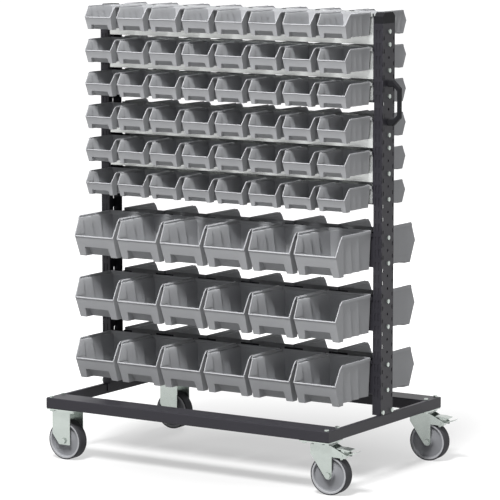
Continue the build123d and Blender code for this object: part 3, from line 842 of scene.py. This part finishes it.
SMALL_BIN = BinShape(
    count=8,
    lip_height=41.0,
    rim_setback=25.0,
    toe_setback=14.0,
    wall=2.6,
    floor_width=95.0,
    recess_height=14.5,
    recess_depth=(18.0, 9.0),
    recess_top=31.0,
    recess_foot=34.0,
    bead=1.0,
    band=3.4,
    rim_band=6.0,
    chamfer=2.2,
    corner=3.5,
    step_depth=5.5,
    steps=((0.267, 0.369), (0.485, 0.607), (0.733, 0.78)),
    toe=3.5,
    hook_height=72.0,
    hook_share=0.6,
)
LARGE_BIN = BinShape(
    count=6,
    lip_height=69.0,
    rim_setback=31.0,
    toe_setback=26.0,
    wall=3.4,
    floor_width=145.5,
    recess_height=30.0,
    recess_depth=(36.0, 18.0),
    recess_top=45.0,
    recess_foot=49.0,
    bead=1.4,
    band=5.0,
    rim_band=10.5,
    chamfer=3.2,
    corner=5.0,
    step_depth=8.0,
    steps=((0.267, 0.369), (0.485, 0.607), (0.733, 0.80)),
    toe=6.0,
    hook_height=120.0,
    hook_share=0.6,
)


@dataclass
class BinRack:
    """All rows of bins on both faces of the rack.

    Args:
        tree: Tree that sets out a row.
        small_rows: Number of rows of small bins, counted from the top.
        rows: Number of rows on each face.
        span: Length that a row's pitches fill, in millimetres.
    """

    tree: RowTree
    small_rows: int = 6
    rows: int = 9
    span: float = 1000.0

    def build(self) -> None:
        """Make every row and hand it to its body."""
        for side in Side:
            for row in range(1, self.rows + 1):
                shape = SMALL_BIN if row <= self.small_rows else LARGE_BIN
                self.row(side, f"{side.word}_bins_row_{row}", shape)

    def row(self, side: Side, name: str, shape: BinShape) -> None:
        """Make one row in place of its solids.

        Args:
            side: Face of the rack.
            name: Name of the row's node and body.
            shape: Bin that the row repeats.
        """
        sign, turn = side.value
        low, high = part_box(name)
        pitch = self.span / shape.count
        shape.height = (high.z - low.z) / MM
        shape.width = (high.x - low.x) / MM - (shape.count - 1) * pitch
        shape.length = (high.y - low.y) / MM - shape.HOOK_REACH
        back = (high.y if sign < 0 else low.y) + sign * shape.HOOK_REACH * MM
        first = Vector((low.x + shape.width / 2 * MM, back, low.z))
        mesh = self.tree.mesh(
            name,
            shape.shell(f"{name}_bin"),
            shape.count,
            first,
            Vector((pitch * MM, 0, 0)),
            Vector((0, 0, turn)),
            BIN_PLASTIC,
        )
        Workshop.fitted(Workshop.piece(f"{name}_moulded", mesh), name, "bin_plastic", name)


@dataclass
class Uprights:
    """Perforated channels at both ends; sizes in millimetres.

    Args:
        tree: Tree that repeats the punched length.
        wall: Sheet thickness.
        pitch: Distance between fixing holes.
        first_hole: Height of the lowest hole above the foot.
        holes: Number of fixing holes.
        hole_radius: Radius of a fixing hole.
        edge_slot: Width and height of the slots along the web's edges.
        edge_slot_place: Distance of those slots from the web's middle.
        face_slot: Width and height of the slots in the flanges.
        face_slot_shares: Places of those slots across a flange, from the web.
        slot_depth: Depth of those slots, which are pressed into the flange.
        lead: Distance from the foot of a punched length up to its hole.
    """

    tree: RowTree
    wall: float = 2.0
    pitch: float = 40.0
    first_hole: float = 77.0
    holes: int = 29
    hole_radius: float = 4.5
    edge_slot: tuple[float, float] = (5.0, 14.0)
    edge_slot_place: float = 29.0
    face_slot: tuple[float, float] = (5.5, 27.0)
    face_slot_shares: tuple[float, float] = (0.30, 0.68)
    slot_depth: float = 1.7
    lead: float = 28.0

    def build(self) -> None:
        """Make both channels."""
        for end in End:
            self.channel(end)

    def channel(self, end: End) -> None:
        """Make one channel in place of its solid.

        Args:
            end: End of the trolley.
        """
        name = f"{end.word}_upright"
        low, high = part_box(name)
        width, depth, height = ((high - low) / MM)[:]
        middle = Vector(((low.x + high.x) / 2, 0, low.z))
        start = self.first_hole - self.lead
        punched = self.length(width, depth, self.pitch, True)
        foot = self.length(width, depth, start, False)
        head = self.length(width, depth, height - start - self.holes * self.pitch, False)
        turn = Vector((0, 0, 0 if end is End.RIGHT else math.pi))
        up = Vector((0, 0, 1))
        parts = [
            (punched, self.holes, start),
            (foot, 1, 0.0),
            (head, 1, start + self.holes * self.pitch),
        ]
        meshes = [
            self.tree.mesh(
                f"{name}_{index}",
                pattern,
                count,
                middle + up * z * MM,
                up * self.pitch * MM,
                turn,
                DARK_COAT,
            )
            for index, (pattern, count, z) in enumerate(parts)
        ]
        made = Workshop.piece(f"{name}_punched", joined(name, *meshes))
        Workshop.fitted(made, "base", "grey_steel", name)

    def length(self, width: float, depth: float, height: float, punched: bool) -> bpy.types.Mesh:
        """Make one length of the right-hand channel, its foot at z = 0.

        Args:
            width: Width of a flange.
            depth: Width of the web.
            height: Height of the length.
            punched: Whether it has its hole and slots.

        Returns:
            Mesh of the length in metres.
        """
        web_cuts, face_cuts = [], []
        if punched:
            across_hole = 2 * self.hole_radius
            web_cuts.append(self.slot_outline(0.0, self.lead, across_hole, across_hole))
            between = self.lead - self.pitch / 2
            for sign in (-1, 1):
                place = sign * self.edge_slot_place
                web_cuts.append(self.slot_outline(place, between, *self.edge_slot))
            for share in self.face_slot_shares:
                across = width * (0.5 - share)
                face_cuts.append(self.slot_outline(across, height / 2, *self.face_slot))
        web = sheet("web", depth, height, self.wall, web_cuts)
        outwards = Vector((width / 2 - self.wall / 2, 0, 0))
        web.transform(Matrix.Translation(outwards * MM) @ standing(math.pi / 2))
        faces = []
        back = self.wall - self.slot_depth
        for sign in (-1, 1):
            for thick, cuts, place in (
                (self.slot_depth, face_cuts, depth / 2 - self.slot_depth / 2),
                (back, [], depth / 2 - self.wall + back / 2),
            ):
                face = sheet("face", width - self.wall, height, thick, cuts)
                shift = Vector((-self.wall / 2, sign * place, 0))
                face.transform(Matrix.Translation(shift * MM) @ standing(0.0))
                faces.append(face)
        return joined("channel_length", web, *faces)

    @staticmethod
    def slot_outline(
        across: float, up: float, wide: float, tall: float
    ) -> list[tuple[float, float]]:
        """Outline of an upright slot with round ends, or of a hole if it is as tall as wide.

        Args:
            across: Middle across the sheet.
            up: Middle above the foot.
            wide: Width.
            tall: Height.

        Returns:
            Corners in millimetres.
        """
        radius, straight = wide / 2, (tall - wide) / 2
        points = []
        for step in range(SLOT_CORNERS):
            angle = 2 * math.pi * (step + 0.5) / SLOT_CORNERS
            lift = straight if math.sin(angle) > 0 else -straight
            points.append((across + radius * math.cos(angle), up + lift + radius * math.sin(angle)))
        return points


def standing(turn: float) -> Matrix:
    """Matrix that stands a flat sheet up and turns it about Z."""
    return Euler((math.pi / 2, 0, turn)).to_matrix().to_4x4()


def sheet(
    name: str, width: float, height: float, thickness: float, cuts: list[list[tuple[float, float]]]
) -> bpy.types.Mesh:
    """Make a flat sheet with cut-outs, lying in XY with its foot on y = 0.

    Args:
        name: Name of the mesh.
        width: Width along X.
        height: Height along Y.
        thickness: Sheet thickness.
        cuts: Outlines of the cut-outs in millimetres.

    Returns:
        Mesh in metres.
    """
    outline = [(-width / 2, 0), (width / 2, 0), (width / 2, height), (-width / 2, height)]
    curve = bpy.data.curves.new(name, "CURVE")
    curve.dimensions = "2D"
    curve.fill_mode = "BOTH"
    curve.extrude = thickness / 2 * MM
    for points in (outline, *cuts):
        spline = curve.splines.new("POLY")
        spline.points.add(len(points) - 1)
        for point, (x, y) in zip(spline.points, points):
            point.co = (x * MM, y * MM, 0, 1)
        spline.use_cyclic_u = True
    host = bpy.data.objects.new(name, curve)
    bpy.context.scene.collection.objects.link(host)
    return Workshop.baked(host, name)


@dataclass
class Sheets:
    """Louvred sheets in light grey, with their ends by the uprights painted in the dark coat as
    painted shade.

    Args:
        bracket: Length of each sheet's end, measured in from the upright, that is painted dark as
            shade, in millimetres.
        names: Solids of the sheets.
    """

    bracket: float = 5.0
    names: tuple[str, ...] = tuple(
        f"{level}_{side.word}_panel" for level in ("lower", "upper") for side in Side
    )

    def build(self, frame: dict) -> None:
        """Split each sheet from its two ends, which take the dark coat as painted shade.
        """
        low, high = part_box("left_upright")[1].x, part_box("right_upright")[0].x
        inside = (low + self.bracket * MM, high - self.bracket * MM)
        for name in self.names:
            solid = frame["nodes"][name]
            sheet_mesh = self.slice(f"{name}_sheet", solid, inside, True)
            made = Workshop.piece(f"{name}_sheet", sheet_mesh, LIGHT_COAT)
            Workshop.fitted(made, "base", "light_sheet", name)
            # The ends of the light sheet get the dark coat: painted shade for the shadowed gap
            # between the bins and the uprights.
            ends_mesh = self.slice(f"{name}_brackets", solid, inside, False)
            ends = Workshop.piece(f"{name}_brackets", ends_mesh, DARK_COAT)
            Workshop.fitted(ends, "base", "grey_steel")

    @staticmethod
    def slice(
        name: str, solid: bpy.types.Object, inside: tuple[float, float], keep_inside: bool
    ) -> bpy.types.Mesh:
        """Cut a copy of a solid at two planes across X and keep one part.

        Args:
            name: Name of the new mesh.
            solid: Solid to copy.
            inside: Lowest and highest X of the middle part, in metres.
            keep_inside: Whether to keep the middle part or the two ends.

        Returns:
            The part that is kept.
        """
        work = merged_copy(solid)
        for place in inside:
            everything = work.verts[:] + work.edges[:] + work.faces[:]
            bmesh.ops.bisect_plane(
                work, geom=everything, plane_co=(place, 0, 0), plane_no=(1, 0, 0)
            )
        low, high = inside
        unwanted = [
            face for face in work.faces if (low < face.calc_center_median().x < high) != keep_inside
        ]
        return without(name, work, unwanted)


@dataclass
class WheelCentres:
    """Wheel centres whose rim is smoother and painted paler than the silky web, as a highlight
    where it catches the light; lengths in millimetres.

    Args:
        rim_reach: Distance from the wheel's middle past which a corner is on the rim.
        kinds: Kinds of caster on each side.
    """

    rim_reach: float = 54.0
    kinds: tuple[str, ...] = ("swivel", "fixed")

    def build(self, frame: dict) -> None:
        """Split each wheel centre into its web and its rim.
        """
        for side in Side:
            for kind in self.kinds:
                name, body = f"{side.word}_{kind}_hub", f"{side.word}_{kind}_wheel"
                solid = frame["nodes"][name]
                web_mesh = self.part(f"{name}_web", solid, False)
                web = Workshop.piece(f"{name}_web", web_mesh, HUB_PLASTIC)
                Workshop.fitted(web, body, "hub_plastic", name)
                # The rim takes the paler finish: a painted highlight for the light it catches.
                rim_mesh = self.part(f"{name}_rim", solid, True)
                rim = Workshop.piece(f"{name}_rim", rim_mesh, LIT_RIM_PLASTIC)
                Workshop.fitted(rim, body, "hub_plastic")

    def part(self, name: str, solid: bpy.types.Object, rim: bool) -> bpy.types.Mesh:
        """Copy the rim's faces of a wheel centre, or the others.

        Args:
            name: Name of the new mesh.
            solid: Solid of the wheel centre.
            rim: Whether to keep the rim or the web.

        Returns:
            The part that is kept.
        """
        low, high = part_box(solid.name)
        middle = (low + high) / 2
        work = merged_copy(solid)
        reach = self.rim_reach * MM
        unwanted = [
            face
            for face in work.faces
            if all((corner.co - middle).length > reach for corner in face.verts) != rim
        ]
        return Workshop.crisp(without(name, work, unwanted))


@dataclass
class Dressing:
    """Finishes for the solids, of which some are replaced later."""

    def build(self, frame: dict) -> None:
        """Give each solid the finish of its slot.
        """
        finishes = {
            "grey_steel": DARK_COAT,
            "light_sheet": LIGHT_COAT,
            "zinc_steel": ZINC,
            "bin_plastic": BIN_PLASTIC,
            "black_plastic": BLACK_NYLON,
            "hub_plastic": HUB_PLASTIC,
            "tyre_rubber": TREAD_RUBBER,
        }
        for part in frame["record"]["subparts"]:
            solid = frame["nodes"][part["node"]]
            solid.data.materials.clear()
            solid.data.materials.append(finishes[part["material_slot"]].material())
            LOG.info("%s is finished in %s", part["node"], part["material_slot"])


@dataclass(frozen=True)
class Lamp:
    """One soft disc lamp; lengths in metres.

    Args:
        name: Name of the lamp.
        place: Place of its middle.
        size: Diameter.
        power: Power in watts.
        mirrored: Whether it shows in reflections.
    """

    name: str
    place: tuple[float, float, float]
    size: float
    power: float
    mirrored: bool = False


LAMPS = (
    Lamp("key", (0.8, -3.92, 5.8), 1.8, 705.0, mirrored=True),
    Lamp("right", (6.0, -1.2, 1.2), 2.5, 42.0),
    Lamp("rear", (-1.2, 5.6, 3.0), 2.5, 190.0),
    Lamp("left", (-6.0, 0.6, 1.3), 2.5, 40.0),
)


@dataclass
class Studio:
    """Plain pale floor, soft light and the photograph's camera; lengths in millimetres.

    Args:
        camera_place: Camera's place from the middle of the base on the floor.
        camera_turn: Camera's azimuth, in degrees.
        camera_dip: How far the camera looks down, in degrees.
        lens: Focal length on the sensor.
        sensor: Width of the sensor.
        sight: Distance past which the camera sees nothing.
        aim_height: Height that the lamps point at.
        floor_reach: Half of the floor's width.
        floor_shade: Reflectance of the floor.
        glow_near: Distance from the middle where the floor's glow starts to rise.
        glow_far: Distance at which the floor looks plain white.
        glow: The floor's glow under the trolley, as a share of plain white.
        ambient: Light from the room, as a share of plain white.
    """

    camera_place: tuple[float, float, float] = (4984.2, -7715.6, 1911.7)
    camera_turn: float = 32.736
    camera_dip: float = 7.627
    lens: float = 207.86
    sensor: float = 36.0
    sight: float = 100000.0
    aim_height: float = 700.0
    floor_reach: float = 60000.0
    floor_shade: float = 0.33
    glow_near: float = 350.0
    glow_far: float = 1600.0
    glow: float = 0.46
    ambient: float = 0.3

    def build(self) -> None:
        """Set the camera, the lights, the floor and the world."""
        self.camera()
        self.lights()
        self.floor()
        self.world()
        bpy.context.scene.view_settings.view_transform = "Standard"

    def camera(self) -> None:
        """Place the camera where the photograph was taken from."""
        low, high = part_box("front_beam")
        data = bpy.data.cameras.new("camera")
        data.lens = self.lens
        data.sensor_width = self.sensor
        data.clip_end = self.sight * MM
        made = bpy.data.objects.new("camera", data)
        made.location = Vector(self.camera_place) * MM + Vector(((low.x + high.x) / 2, 0, 0))
        tilt = math.radians(90 - self.camera_dip)
        made.rotation_euler = (tilt, 0, math.radians(self.camera_turn))
        bpy.context.scene.collection.objects.link(made)
        bpy.context.scene.camera = made

    def lights(self) -> None:
        """Hang a high key lamp in front and a low, weak one on each other side."""
        for lamp in LAMPS:
            data = bpy.data.lights.new(lamp.name, "AREA")
            data.shape = "DISK"
            data.size = lamp.size
            data.energy = lamp.power
            made = bpy.data.objects.new(lamp.name, data)
            made.location = lamp.place
            aim = Vector((0, 0, self.aim_height * MM)) - Vector(lamp.place)
            made.rotation_euler = aim.to_track_quat("-Z", "Y").to_euler()
            made.visible_glossy = lamp.mirrored
            bpy.context.scene.collection.objects.link(made)

    def floor(self) -> None:
        """Lay a large floor that keeps the shadow and looks white to the camera."""
        mesh = bpy.data.meshes.new("floor")
        reach = self.floor_reach * MM
        mesh.from_pydata(
            [(-reach, -reach, 0), (reach, -reach, 0), (reach, reach, 0), (-reach, reach, 0)],
            [],
            [(0, 1, 2, 3)],
        )
        made = Workshop.piece("floor", mesh)
        paint = bpy.data.materials.new("pale studio floor")
        paint.use_nodes = True
        tree = paint.node_tree
        tree.nodes.clear()
        shade = (self.floor_shade,) * 3
        dull = node(tree, "ShaderNodeBsdfDiffuse", {"Color": (*shade, 1.0)})
        place = node(tree, "ShaderNodeTexCoord", {}).outputs["Object"]
        away = node(tree, "ShaderNodeVectorMath", {0: place}, operation="LENGTH")
        share = node(
            tree,
            "ShaderNodeMapRange",
            {
                "Value": away.outputs["Value"],
                "From Min": self.glow_near * MM,
                "From Max": self.glow_far * MM,
                "To Min": self.glow,
                "To Max": 1.0,
            },
        )
        glow = node(
            tree,
            "ShaderNodeEmission",
            {"Color": (1.0, 1.0, 1.0, 1.0), "Strength": self.seen(tree, share.outputs["Result"])},
        )
        both = node(
            tree, "ShaderNodeAddShader", {0: dull.outputs["BSDF"], 1: glow.outputs["Emission"]}
        )
        node(tree, "ShaderNodeOutputMaterial", {"Surface": both.outputs["Shader"]})
        mesh.materials.append(paint)

    @staticmethod
    def seen(
        tree: bpy.types.NodeTree, strength: float | bpy.types.NodeSocket
    ) -> bpy.types.NodeSocket:
        """Strength that only the camera and reflections see.

        Args:
            tree: Shader tree.
            strength: Strength for those rays, or an output that gives it.

        Returns:
            Output with that strength or zero.
        """
        path = node(tree, "ShaderNodeLightPath", {}).outputs
        one = node(
            tree,
            "ShaderNodeMath",
            {0: path["Is Camera Ray"], 1: path["Is Glossy Ray"]},
            operation="MAXIMUM",
        )
        two = node(
            tree,
            "ShaderNodeMath",
            {0: one.outputs[0], 1: path["Is Transmission Ray"]},
            operation="MAXIMUM",
        )
        return node(
            tree, "ShaderNodeMath", {0: two.outputs[0], 1: strength}, operation="MULTIPLY"
        ).outputs[0]

    def world(self) -> None:
        """Light the room evenly and show plain white behind the trolley."""
        made = bpy.data.worlds.new("white studio")
        bpy.context.scene.world = made
        made.use_nodes = True
        tree = made.node_tree
        tree.nodes.clear()
        strength = node(
            tree,
            "ShaderNodeMath",
            {0: self.seen(tree, 1.0 - self.ambient), 1: self.ambient},
            operation="ADD",
        )
        sky = node(
            tree,
            "ShaderNodeBackground",
            {"Color": (1.0, 1.0, 1.0, 1.0), "Strength": strength.outputs[0]},
        )
        node(tree, "ShaderNodeOutputWorld", {"Surface": sky.outputs["Background"]})


def main() -> None:
    """Build the dressed trolley in its studio."""
    logging.basicConfig(level=logging.INFO, format="%(name)s: %(message)s")
    for left_over in list(bpy.data.objects):
        bpy.data.objects.remove(left_over)
    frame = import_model()
    Dressing().build(frame)
    tree = RowTree()
    BinRack(tree).build()
    Uprights(tree).build()
    Sheets().build(frame)
    WheelCentres().build(frame)
    Studio().build()


if __name__ == "__main__":
    main()
